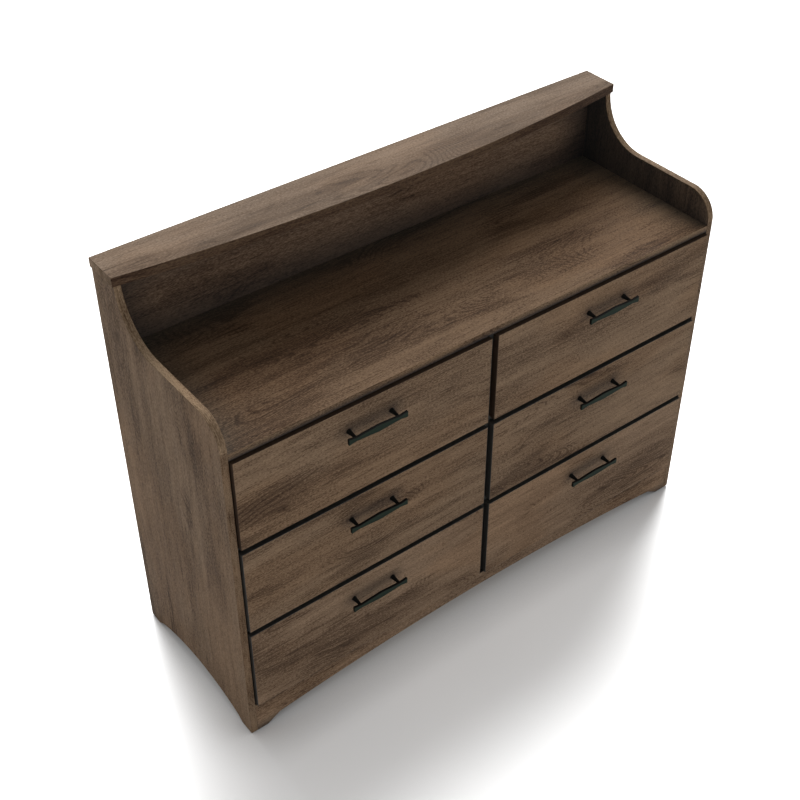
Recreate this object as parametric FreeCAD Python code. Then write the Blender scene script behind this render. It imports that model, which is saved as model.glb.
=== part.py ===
import FreeCAD, Part
import os

# Double dresser with six drawers in two columns. The side panels sweep up at the back and carry a
# raised gallery: an upright board and a cap. Sizes are in millimetres. The origin is on the floor
# under the middle of the whole piece, +X is to the right seen from the front, the drawers face -Y
# and +Z is up.

os.makedirs("parts", exist_ok=True)

# Case
case_width = 1200.0
case_depth = 404.0
panel_thickness = 15.0
partition_thickness = 18.0
top_height = 748.0
base_height = 81.0
arris_radius = 1.0

# Gallery
gallery_height = 171.0
gallery_inset = 15.0
shoulder_rise = 67.0
shoulder_radius = 60.0
scoop_radius = 107.0
cap_thickness = 19.0
cap_depth = 84.0
cap_bow = 41.5
cap_end_overhang = 3.0
cap_front_overhang = 3.0

# Arched lower edges of the side panels and of the apron, heights above the floor
side_foot_length = 34.0
side_slope_run = 18.0
side_slope_rise = 14.0
side_crown_height = 40.0
apron_foot_length = 40.0
apron_slope_run = 30.0
apron_slope_rise = 19.0
apron_crown_height = 47.0

# Thin back, held in grooves of the side panels
back_thickness = 3.0
back_groove_depth = 6.0
back_play = 0.4
back_lift = 20.0
rear_rail_lift = 16.0

# Drawer fronts
row_count = 3
front_thickness = 15.0
front_proud = 7.0
row_gap = 12.0
centre_gap = 15.0
front_end_clearance = 2.5
front_top_clearance = 2.0
front_bottom_clearance = 2.0
closing_clearance = 0.5
rail_depth = 60.0

# Drawer boxes
box_wall = 12.0
box_headroom = 36.0
box_depth = 350.0
box_lift = 22.0
bottom_thickness = 3.0
bottom_lift = 10.0
bottom_groove_depth = 6.0
bottom_play = 0.3

# Steel runners: a channel on the case and a smaller channel on the drawer that slides inside it
runner_space = 12.5
runner_length = 345.0
runner_height = 35.0
runner_gauge = 1.2
runner_play = 0.3
case_channel_depth = 10.8
drawer_channel_depth = 9.5
runner_setback = 4.0

# Pulls
pull_projection = 27.0
pull_centres = 96.0
pull_length = 132.0
pull_drop = 53.0
bar_thickness = 6.0
bar_middle_height = 15.0
bar_neck_height = 8.0
bar_end_height = 14.0
bar_edge_radius = 0.8
post_tip_radius = 3.0
post_base_radius = 5.2
pull_screw_radius = 2.0
pull_screw_play = 0.4
pull_screw_bite = 8.0
screw_head_radius = 4.0
screw_head_height = 2.4

# Cam fittings and dowels that join the case boards
cam_radius = 7.5
cam_length = 12.0
cam_setback = 24.0
cam_play = 0.1
bolt_radius = 3.0
bolt_bite = 8.0
fitting_inset = 60.0
rail_fitting_inset = 30.0
dowel_radius = 4.0
dowel_bite = 12.0
upright_dowel_inset = 24.0

# Parts that meet the floor and the wall
glide_height = 2.0
glide_radius = 6.0
glide_inset = 17.0
foot_flange_radius = 26.0
foot_flange_height = 4.0
foot_stem_radius = 12.0
foot_pad_radius = 18.0
foot_pad_height = 6.0
bracket_width = 40.0
bracket_gauge = 1.5
bracket_plate_height = 30.0
bracket_drop = 75.0
bracket_hole_radius = 2.75
bracket_screw_radius = 2.0
bracket_screw_bite = 10.0
bracket_screw_spacing = 24.0

# Places that follow from the sizes above
overall_depth = case_depth + front_proud + pull_projection
case_back = overall_depth / 2
case_front = case_back - case_depth
inner_side = case_width / 2 - panel_thickness
partition_side = partition_thickness / 2
top_underside = top_height - panel_thickness
cap_underside = top_height + gallery_height
shoulder_height = top_height + shoulder_rise
gallery_rear = case_back - gallery_inset
gallery_front = gallery_rear - panel_thickness
upright_front = case_back - cap_depth + cap_front_overhang
front_face = case_front - front_proud
front_rear = front_face + front_thickness
rail_front = front_rear + closing_clearance
front_width = inner_side - front_end_clearance - centre_gap / 2
rows_top = top_underside - front_top_clearance
rows_bottom = base_height + front_bottom_clearance
front_height = (rows_top - rows_bottom - (row_count - 1) * row_gap) / row_count
box_height = front_height - box_lift - box_headroom
row_names = ["top", "middle", "bottom"]


def at(x, y, z):
    """Point in space."""
    return FreeCAD.Vector(x, y, z)


def block(x_span, y_span, z_span):
    """Box between two values on each axis."""
    corner = at(min(x_span), min(y_span), min(z_span))
    size = [abs(span[1] - span[0]) for span in (x_span, y_span, z_span)]
    return Part.makeBox(size[0], size[1], size[2], corner)


def rod(start, direction, length, radius):
    """Round bar from a point along a direction."""
    return Part.makeCylinder(radius, length, start, direction)


def slab(start, steps, thickness):
    """Closed outline pulled along a vector. A step is a point, or an arc's middle and end."""
    edges = []
    here = start
    for step in steps + [start]:
        if isinstance(step, tuple):
            middle, there = step
            edges.append(Part.Arc(here, middle, there).toShape())
        else:
            there = step
            edges.append(Part.LineSegment(here, there).toShape())
        here = there
    return Part.Face(Part.Wire(edges)).extrude(thickness)


def arch(place, low, high, foot, run, rise, crown):
    """Steps along a lower edge from the high end's foot to the low end's foot."""
    middle = place((low + high) / 2, crown)
    return [
        place(high - foot, glide_height),
        place(high - foot - run, rise),
        (middle, place(low + foot + run, rise)),
        place(low + foot, glide_height),
    ]


def soften(shape, edges, radius):
    """Shape with the given edges rounded."""
    return shape.makeFillet(radius, edges)


def edges_in_plane(shape, axis, value):
    """Edges of a shape that lie in the plane where the axis has this value."""
    low = axis + "Min"
    high = axis + "Max"
    found = []
    for edge in shape.Edges:
        box = edge.BoundBox
        if abs(getattr(box, low) - value) < 0.01 and abs(getattr(box, high) - value) < 0.01:
            found.append(edge)
    return found


def save(name, solids):
    """Write one node, which holds one solid or several."""
    shape = solids[0] if len(solids) == 1 else Part.makeCompound(solids)
    shape.exportStep("parts/" + name + ".step")


class Cam:
    """Cam let into one board from a face, and the bolt that it pulls, held in the next board."""

    def __init__(self, board, neighbour, end, run, face):
        deep = end - run * cam_setback + face * (panel_thickness / 2 - cam_length)
        bolt_start = end - run * (cam_setback - cam_radius - cam_play)
        bolt_length = cam_setback - cam_radius - cam_play + bolt_bite
        bore = bolt_radius + cam_play
        self.pieces = [
            rod(deep, face, cam_length, cam_radius),
            rod(bolt_start, run, bolt_length, bolt_radius),
        ]
        cam_hole = rod(deep, face, cam_length + cam_play, cam_radius + cam_play)
        board_hole = cam_hole.fuse(rod(end - run * cam_setback, run, cam_setback, bore))
        self.holes = {board: board_hole, neighbour: rod(end, run, bolt_bite, bore)}


class Dowel:
    """Round dowel, half in each of two boards."""

    def __init__(self, board, neighbour, end, run):
        bore = dowel_radius + cam_play
        self.pieces = [rod(end - run * dowel_bite, run, 2 * dowel_bite, dowel_radius)]
        self.holes = {
            board: rod(end - run * dowel_bite, run, dowel_bite, bore),
            neighbour: rod(end, run, dowel_bite, bore),
        }


def side_panel(side):
    """Upright side board: arched foot, rounded shoulder and scoop up to the cap."""
    outer = side * case_width / 2

    def place(y, z):
        return at(outer, y, z)

    scoop_level = shoulder_height + scoop_radius
    half_scoop = 0.5 ** 0.5 * scoop_radius
    scoop_run = (scoop_radius ** 2 - (scoop_level - cap_underside) ** 2) ** 0.5
    scoop_start = upright_front - scoop_run
    bulge = shoulder_radius * (1 - 0.5 ** 0.5)
    steps = [
        place(case_front, shoulder_height - shoulder_radius),
        (
            place(case_front + bulge, shoulder_height - bulge),
            place(case_front + shoulder_radius, shoulder_height),
        ),
        place(scoop_start, shoulder_height),
        (
            place(scoop_start + half_scoop, scoop_level - half_scoop),
            place(upright_front, cap_underside),
        ),
        place(case_back, cap_underside),
        place(case_back, glide_height),
    ]
    steps += arch(
        place, case_front, case_back, side_foot_length, side_slope_run, side_slope_rise, side_crown_height
    )
    panel = slab(place(case_front, glide_height), steps, at(-side * panel_thickness, 0, 0))
    groove = block(
        (side * inner_side, side * (inner_side + back_groove_depth)),
        (gallery_rear, gallery_rear + back_thickness + back_play),
        (0, top_height),
    )
    return panel.cut(groove)


def top_board():
    """Top board between the side panels."""
    return block((-inner_side, inner_side), (case_front, gallery_rear), (top_underside, top_height))


def gallery_cap():
    """Cap board that lies on the side panels and the gallery board, with a bowed front edge."""
    reach = case_width / 2 + cap_end_overhang
    cap_front = case_back - cap_depth

    def place(x, y):
        return at(x, y, cap_underside)

    steps = [
        (place(0, cap_front - cap_bow), place(reach, cap_front)),
        place(reach, case_back),
        place(-reach, case_back),
    ]
    cap = slab(place(-reach, cap_front), steps, at(0, 0, cap_thickness))
    upper = edges_in_plane(cap, "Z", cap_underside + cap_thickness)
    return soften(cap, upper, arris_radius)


def gallery_back_panel():
    """Upright board of the gallery, standing on the top board."""
    return block((-inner_side, inner_side), (gallery_front, gallery_rear), (top_height, cap_underside))


def back_panel():
    """Thin sheet behind the drawers, in the grooves of the side panels."""
    reach = inner_side + back_groove_depth - back_play
    return block((-reach, reach), (gallery_rear, gallery_rear + back_thickness), (back_lift, top_height))


def centre_partition():
    """Upright board between the two columns of drawers."""
    return block(
        (-partition_side, partition_side), (rail_front, gallery_rear), (base_height, top_underside)
    )


def bottom_board():
    """Board under the lowest drawers, behind the apron."""
    return block(
        (-inner_side, inner_side),
        (case_front + panel_thickness, gallery_rear),
        (base_height - panel_thickness, base_height),
    )


def front_apron():
    """Arched board under the lowest drawers, flush with the side panels' front edges."""

    def place(x, z):
        return at(x, case_front, z)

    half = case_width / 2
    steps = [place(-inner_side, base_height), place(inner_side, base_height)]
    steps.append(place(inner_side, glide_height))
    steps += arch(
        place, -half, half, apron_foot_length, apron_slope_run, apron_slope_rise, apron_crown_height
    )
    return slab(place(-inner_side, glide_height), steps, at(0, panel_thickness, 0))


def rear_apron():
    """Straight rail under the bottom board at the back."""
    return block(
        (-inner_side, inner_side),
        (gallery_front, gallery_rear),
        (rear_rail_lift, base_height - panel_thickness),
    )


def row_span(row):
    """Lower and upper edge of the drawer fronts in a row, counted from the top."""
    upper = rows_top - row * (front_height + row_gap)
    return upper - front_height, upper


def drawer_rail(side, row):
    """Rail behind the gap under a row of fronts, from side panel to partition."""
    middle = row_span(row)[0] - row_gap / 2
    return block(
        (side * partition_side, side * inner_side),
        (rail_front, rail_front + rail_depth),
        (middle - panel_thickness / 2, middle + panel_thickness / 2),
    )


def channel(web, inward, reach, height, low_z, front_y):
    """Steel channel: a web at x = web, with two flanges that reach inward."""
    y_span = (front_y, front_y + runner_length)
    tip = web + inward * reach
    z_span = (low_z, low_z + height)
    outside = block((web, tip), y_span, z_span)
    hollow = block(
        (web + inward * runner_gauge, tip),
        y_span,
        (low_z + runner_gauge, low_z + height - runner_gauge),
    )
    return outside.cut(hollow)


def runner_level(row):
    """Lower edge of the case channels of a row, level with the middle of the drawer's sides."""
    return row_span(row)[0] + box_lift + (box_height - runner_height) / 2


def case_runners():
    """The channels on the case: two for each drawer."""
    found = []
    for side in (-1, 1):
        for row in range(row_count):
            low = runner_level(row)
            front_y = front_rear + runner_setback
            outer = side * inner_side
            found.append(channel(outer, -side, case_channel_depth, runner_height, low, front_y))
            inner = side * partition_side
            found.append(channel(inner, side, case_channel_depth, runner_height, low, front_y))
    return found


def box_walls(side):
    """Outer faces of a drawer's box, nearest the side panel and nearest the partition."""
    return side * (inner_side - runner_space), side * (partition_side + runner_space)


def drawer_runners(side, row):
    """The two channels on a drawer's sides, open towards the case."""
    inset = runner_gauge + runner_play
    low = runner_level(row) + inset
    height = runner_height - 2 * inset
    front_y = front_rear + runner_setback
    outer, inner = box_walls(side)
    return [
        channel(outer, side, drawer_channel_depth, height, low, front_y),
        channel(inner, -side, drawer_channel_depth, height, low, front_y),
    ]


def drawer_front(side, row):
    """Drawer front: a laminated board with softened front edges and two holes for the pull."""
    low, high = row_span(row)
    near = side * centre_gap / 2
    far = side * (inner_side - front_end_clearance)
    board = block((near, far), (front_face, front_rear), (low, high))
    board = soften(board, edges_in_plane(board, "Y", front_face), arris_radius)
    holes = []
    for x, z in pull_holes(side, row):
        start = at(x, front_face, z)
        holes.append(rod(start, at(0, 1, 0), front_thickness, pull_screw_radius + pull_screw_play))
    outer, inner = box_walls(side)
    floor = bottom_level(row)
    edge = side * (box_wall - bottom_groove_depth)
    groove = block(
        (outer - edge, inner + edge),
        (front_rear - bottom_groove_depth, front_rear),
        (floor, floor + bottom_thickness + bottom_play),
    )
    return board.cut(holes + [groove])


def bottom_level(row):
    """Lower face of a drawer's bottom sheet."""
    return row_span(row)[0] + box_lift + bottom_lift


def drawer_side(wall, inward, row):
    """Side of a drawer's box with the groove for its bottom."""
    low = row_span(row)[0] + box_lift
    y_span = (front_rear, front_rear + box_depth)
    board = block((wall, wall + inward * box_wall), y_span, (low, low + box_height))
    floor = bottom_level(row)
    groove = block(
        (wall + inward * (box_wall - bottom_groove_depth), wall + inward * box_wall),
        y_span,
        (floor, floor + bottom_thickness + bottom_play),
    )
    return board.cut(groove)


def drawer_back(side, row):
    """Back of a drawer's box, standing on the bottom sheet."""
    outer, inner = box_walls(side)
    low = row_span(row)[0] + box_lift
    floor = bottom_level(row) + bottom_thickness
    rear = front_rear + box_depth
    return block(
        (outer - side * box_wall, inner + side * box_wall),
        (rear - box_wall, rear),
        (floor, low + box_height),
    )


def drawer_bottom(side, row):
    """Thin sheet in the grooves of the front and the two sides."""
    outer, inner = box_walls(side)
    edge = box_wall - bottom_groove_depth + bottom_play
    floor = bottom_level(row)
    return block(
        (outer - side * edge, inner + side * edge),
        (front_rear - bottom_groove_depth + bottom_play, front_rear + box_depth),
        (floor, floor + bottom_thickness),
    )


def pull_holes(side, row):
    """Places of a pull's two screws, as x and z."""
    middle = side * (centre_gap / 2 + front_width / 2)
    height = row_span(row)[1] - pull_drop
    return [(middle - pull_centres / 2, height), (middle + pull_centres / 2, height)]


def pull_bar(middle, height):
    """Flat-faced bar, full in the middle, narrow at each post and flared to its ends."""
    bar_front = front_face - pull_projection
    neck = pull_centres / 2
    end = pull_length / 2
    widths = [(-end, bar_end_height), (-neck, bar_neck_height), (0, bar_middle_height)]
    widths += [(neck, bar_neck_height), (end, bar_end_height)]
    upper = [at(middle + x, bar_front, height + width / 2) for x, width in widths]
    lower = [at(middle + x, bar_front, height - width / 2) for x, width in reversed(widths)]
    bar = slab(upper[0], upper[1:] + lower, at(0, bar_thickness, 0))
    return soften(bar, edges_in_plane(bar, "Y", bar_front), bar_edge_radius)


def pull_post(x, height):
    """Tapered post, widest on the drawer front, with a blind hole for its screw."""
    length = pull_projection - bar_thickness
    outward = at(0, -1, 0)
    foot = at(x, front_face, height)
    post = Part.makeCone(post_base_radius, post_tip_radius, length, foot, outward)
    hole = rod(foot, outward, pull_screw_bite, pull_screw_radius + cam_play)
    return post.cut(hole)


def pull_screw(x, height):
    """Machine screw from inside the drawer through the front into the post."""
    head = rod(at(x, front_rear, height), at(0, 1, 0), screw_head_height, screw_head_radius)
    length = front_thickness + pull_screw_bite
    shank = rod(at(x, front_rear, height), at(0, -1, 0), length, pull_screw_radius)
    return head.fuse(shank)


def pull(side, row):
    """Pull of one drawer: bar, two posts and two screws."""
    middle = side * (centre_gap / 2 + front_width / 2)
    height = row_span(row)[1] - pull_drop
    solids = [pull_bar(middle, height)]
    for x, z in pull_holes(side, row):
        solids.append(pull_post(x, z))
        solids.append(pull_screw(x, z))
    return solids


def glide(x, y):
    """Plastic glide nailed under a foot of a side panel."""
    return rod(at(x, y, 0), at(0, 0, 1), glide_height, glide_radius)


def centre_foot():
    """Support foot under the middle of the bottom board: pad, stem and flange."""
    up = at(0, 0, 1)
    depth = (case_front + gallery_rear) / 2
    top = base_height - panel_thickness
    pad = rod(at(0, depth, 0), up, foot_pad_height, foot_pad_radius)
    stem = rod(at(0, depth, 0), up, top, foot_stem_radius)
    flange = rod(at(0, depth, top - foot_flange_height), up, foot_flange_height, foot_flange_radius)
    return pad.fuse([stem, flange]).removeSplitter()


def floor_supports():
    """Four glides and the centre foot."""
    middle = case_width / 2 - panel_thickness / 2
    found = [centre_foot()]
    for x in (-middle, middle):
        for y in (case_front + glide_inset, case_back - glide_inset):
            found.append(glide(x, y))
    return found


def wall_bracket():
    """Cranked steel strap behind the gallery, screwed to it, with a hole for a screw into the wall."""
    low = cap_underside - bracket_drop
    shelf = low + bracket_plate_height
    x_span = (-bracket_width / 2, bracket_width / 2)
    inner = block(x_span, (gallery_rear, gallery_rear + bracket_gauge), (low, shelf))
    level = block(x_span, (gallery_rear, case_back), (shelf, shelf + bracket_gauge))
    outer = block(
        x_span, (case_back - bracket_gauge, case_back), (shelf, shelf + bracket_plate_height)
    )
    strap = inner.fuse([level, outer]).removeSplitter()
    back = at(0, 1, 0)
    middle = shelf + bracket_gauge + (bracket_plate_height - bracket_gauge) / 2
    hole = rod(at(0, case_back - bracket_gauge, middle), back, bracket_gauge, bracket_hole_radius)
    cuts = [hole]
    screws = []
    for x, z in bracket_screw_places():
        cuts.append(rod(at(x, gallery_rear, z), back, bracket_gauge, bracket_screw_radius + cam_play))
        head = rod(at(x, gallery_rear + bracket_gauge, z), back, screw_head_height, screw_head_radius)
        shank = rod(
            at(x, gallery_rear - bracket_screw_bite, z),
            back,
            bracket_screw_bite + bracket_gauge,
            bracket_screw_radius,
        )
        screws.append(head.fuse(shank))
    return [strap.cut(cuts)] + screws


def bracket_screw_places():
    """Places of the two screws that hold the bracket, as x and z."""
    height = cap_underside - bracket_drop + bracket_plate_height / 2
    return [(-bracket_screw_spacing / 2, height), (bracket_screw_spacing / 2, height)]


def side_fittings(side, panel):
    """Cams and dowels that join the boards to one side panel, and the rails to the partition."""
    run = at(side, 0, 0)
    back = at(0, 1, 0)
    up = at(0, 0, 1)
    edge = side * inner_side
    gallery_middle = (gallery_front + gallery_rear) / 2
    found = []
    for y in (case_front + fitting_inset, gallery_rear - fitting_inset):
        found.append(Cam("top_board", panel, at(edge, y, top_height - panel_thickness / 2), run, -up))
        found.append(Cam("bottom_board", panel, at(edge, y, base_height - panel_thickness / 2), run, -up))
    gallery_end = at(edge, gallery_middle, top_height + gallery_height / 2)
    found.append(Cam("gallery_back_panel", panel, gallery_end, run, back))
    apron_end = at(edge, case_front + panel_thickness / 2, base_height / 2)
    found.append(Cam("front_apron", panel, apron_end, run, back))
    rear_end = at(edge, gallery_middle, (rear_rail_lift + base_height - panel_thickness) / 2)
    found.append(Cam("rear_apron", panel, rear_end, run, -back))
    upright_x = side * (case_width - panel_thickness) / 2
    for y in (upright_front + upright_dowel_inset, case_back - upright_dowel_inset):
        found.append(Dowel(panel, "gallery_cap", at(upright_x, y, cap_underside), up))
    half_x = side * inner_side / 2
    crown = at(half_x, gallery_middle, cap_underside)
    found.append(Cam("gallery_back_panel", "gallery_cap", crown, up, back))
    found.append(Dowel("gallery_back_panel", "top_board", at(half_x, gallery_middle, top_height), -up))
    rail_y = rail_front + rail_fitting_inset
    for row, level in ((0, "upper"), (1, "lower")):
        rail = level + ("_left_rail" if side < 0 else "_right_rail")
        height = row_span(row)[0] - row_gap / 2
        found.append(Cam(rail, panel, at(edge, rail_y, height), run, -up))
        inner_end = at(side * partition_side, rail_y, height)
        found.append(Cam(rail, "centre_partition", inner_end, -run, -up))
    return found


def case_fittings():
    """All cams and dowels of the case."""
    up = at(0, 0, 1)
    found = side_fittings(-1, "left_side_panel") + side_fittings(1, "right_side_panel")
    for y in (rail_front + fitting_inset, gallery_rear - fitting_inset):
        found.append(Dowel("centre_partition", "top_board", at(0, y, top_underside), up))
        found.append(Dowel("centre_partition", "bottom_board", at(0, y, base_height), -up))
    return found


def case_boards():
    """All boards of the case by name, before the holes of the fittings."""
    boards = {
        "left_side_panel": side_panel(-1),
        "right_side_panel": side_panel(1),
        "top_board": top_board(),
        "gallery_cap": gallery_cap(),
        "gallery_back_panel": gallery_back_panel(),
        "back_panel": back_panel(),
        "centre_partition": centre_partition(),
        "bottom_board": bottom_board(),
        "front_apron": front_apron(),
        "rear_apron": rear_apron(),
    }
    for row, level in ((0, "upper"), (1, "lower")):
        boards[level + "_left_rail"] = drawer_rail(-1, row)
        boards[level + "_right_rail"] = drawer_rail(1, row)
    return boards


def build_case():
    """Write the boards of the case, with their holes, and what is fixed to them."""
    boards = case_boards()
    holes = {name: [] for name in boards}
    pieces = []
    for fitting in case_fittings():
        pieces += fitting.pieces
        for name, hole in fitting.holes.items():
            holes[name].append(hole)
    for x, z in bracket_screw_places():
        start = at(x, gallery_rear - bracket_screw_bite, z)
        hole = rod(start, at(0, 1, 0), bracket_screw_bite, bracket_screw_radius + cam_play)
        holes["gallery_back_panel"].append(hole)
    for name, board in boards.items():
        save(name, [board.cut(holes[name])] if holes[name] else [board])
    save("case_fittings", pieces)
    save("case_runners", case_runners())
    save("floor_supports", floor_supports())
    save("wall_bracket", wall_bracket())


def build_drawer(side, row):
    """Write the pieces of one drawer."""
    name = row_names[row] + ("_left" if side < 0 else "_right") + "_drawer_"
    outer, inner = box_walls(side)
    save(name + "front", [drawer_front(side, row)])
    save(name + "left_side", [drawer_side(min(outer, inner), 1, row)])
    save(name + "right_side", [drawer_side(max(outer, inner), -1, row)])
    save(name + "back", [drawer_back(side, row)])
    save(name + "bottom", [drawer_bottom(side, row)])
    save(name + "runners", drawer_runners(side, row))
    save(name + "pull", pull(side, row))


build_case()
for column in (-1, 1):
    for row_number in range(row_count):
        build_drawer(column, row_number)
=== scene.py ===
"""Dressed model of a wide dresser: six drawers in two columns under a raised gallery with a cap board.

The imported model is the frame. Boards and pulls that show are built again here with softened edges, edge
bands and finishes, in the places that the frame gives, and the pieces inside keep their shape and get
their finish.
"""
import logging
import math
from dataclasses import dataclass, field
from enum import Enum
from typing import Iterable, Sequence

import bpy
import numpy as np
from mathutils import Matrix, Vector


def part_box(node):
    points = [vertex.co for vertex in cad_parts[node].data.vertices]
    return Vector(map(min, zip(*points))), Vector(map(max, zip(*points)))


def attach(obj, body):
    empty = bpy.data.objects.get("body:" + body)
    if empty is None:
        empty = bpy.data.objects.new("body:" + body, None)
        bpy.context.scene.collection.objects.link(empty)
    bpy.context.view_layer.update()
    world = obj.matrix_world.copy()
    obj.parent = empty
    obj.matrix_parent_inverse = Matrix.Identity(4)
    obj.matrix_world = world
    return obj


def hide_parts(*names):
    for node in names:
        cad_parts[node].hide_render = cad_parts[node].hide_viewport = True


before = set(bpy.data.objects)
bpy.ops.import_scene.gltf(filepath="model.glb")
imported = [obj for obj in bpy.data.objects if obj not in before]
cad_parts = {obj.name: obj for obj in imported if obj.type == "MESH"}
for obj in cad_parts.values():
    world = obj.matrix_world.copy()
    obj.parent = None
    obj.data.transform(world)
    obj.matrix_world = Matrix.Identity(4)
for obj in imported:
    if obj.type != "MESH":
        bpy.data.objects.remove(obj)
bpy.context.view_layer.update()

LOG = logging.getLogger("dresser")
MM = 0.001
Colour = tuple[float, float, float, float]
Tone = tuple[int, int, int]
Socket = bpy.types.NodeSocket
Material = bpy.types.Material
Values = dict[str | int, Socket | float | Sequence[float]]

# Points on a quarter round: on the corners and pulls, and on the boards' arrises.
ROUND_POINTS = 5
ARRIS_POINTS = 4
# Radius of a board's corners over the radius of its arrises.
CORNER_TO_ARRIS = 1.3
# Cosine of the greatest angle between a face's normal and a way that it counts as looking.
FACING = 0.9
# Width of the camera's sensor in millimetres.
SENSOR_WIDTH = 36.0
# Radians of growth rings over the whole pattern, and those by which the streaks shift them.
RING_TURNS = 430.0
RING_WANDER = 6.0
# Ways that the side panels' edge looks along the shoulder and the scoop, from the front up. There its band is a paler
# copy, painted light.
SHOULDER_WAYS = ((0, -0.94, 0.34), (0, -0.77, 0.64), (0, -0.5, 0.87), (0, -0.17, 0.98))
# Levels between which the top board's edge clears from the painted shade along its lower part.
TOP_EDGE_PAINTED_SHADE = (729 * MM, 747 * MM)
# Each drawer's body with the shift that makes its grain its own.
DRAWERS = {
    "top_left_drawer": (0.3, 1.0, 2.0),
    "top_right_drawer": (4.1, 3.0, 5.5),
    "middle_left_drawer": (7.7, 2.0, 9.1),
    "middle_right_drawer": (12.2, 9.0, 3.4),
    "bottom_left_drawer": (9.4, 5.0, 15.8),
    "bottom_right_drawer": (5.6, 8.0, 18.3),
}


def linear(tone: Tone) -> Colour:
    """Linear colour of an 8-bit display colour.

    Args:
        tone: Red, green and blue, 0 to 255.

    Returns:
        Red, green, blue and an opaque alpha in linear light.
    """
    levels = np.array(tone) / 255.0
    light = np.where(levels <= 0.04045, levels / 12.92, ((levels + 0.055) / 1.055) ** 2.4)
    return (float(light[0]), float(light[1]), float(light[2]), 1.0)


class Grain(Enum):
    """Direction in which the wood grain runs. The value is the stretched axis."""

    ACROSS = 0
    DEEP = 1
    UPRIGHT = 2


class Reads(Enum):
    """Coordinates that a finish reads. The value is the texture coordinate's output."""

    PLACE = "Object"
    EDGE_BAND = "UV"


class Lies(Enum):
    """How a board lies. The value gives the axes of its outline's two directions and of its thickness."""

    FACING_SIDEWAYS = (1, 2, 0)
    FACING_FRONT = (2, 0, 1)
    FLAT = (0, 1, 2)


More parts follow.
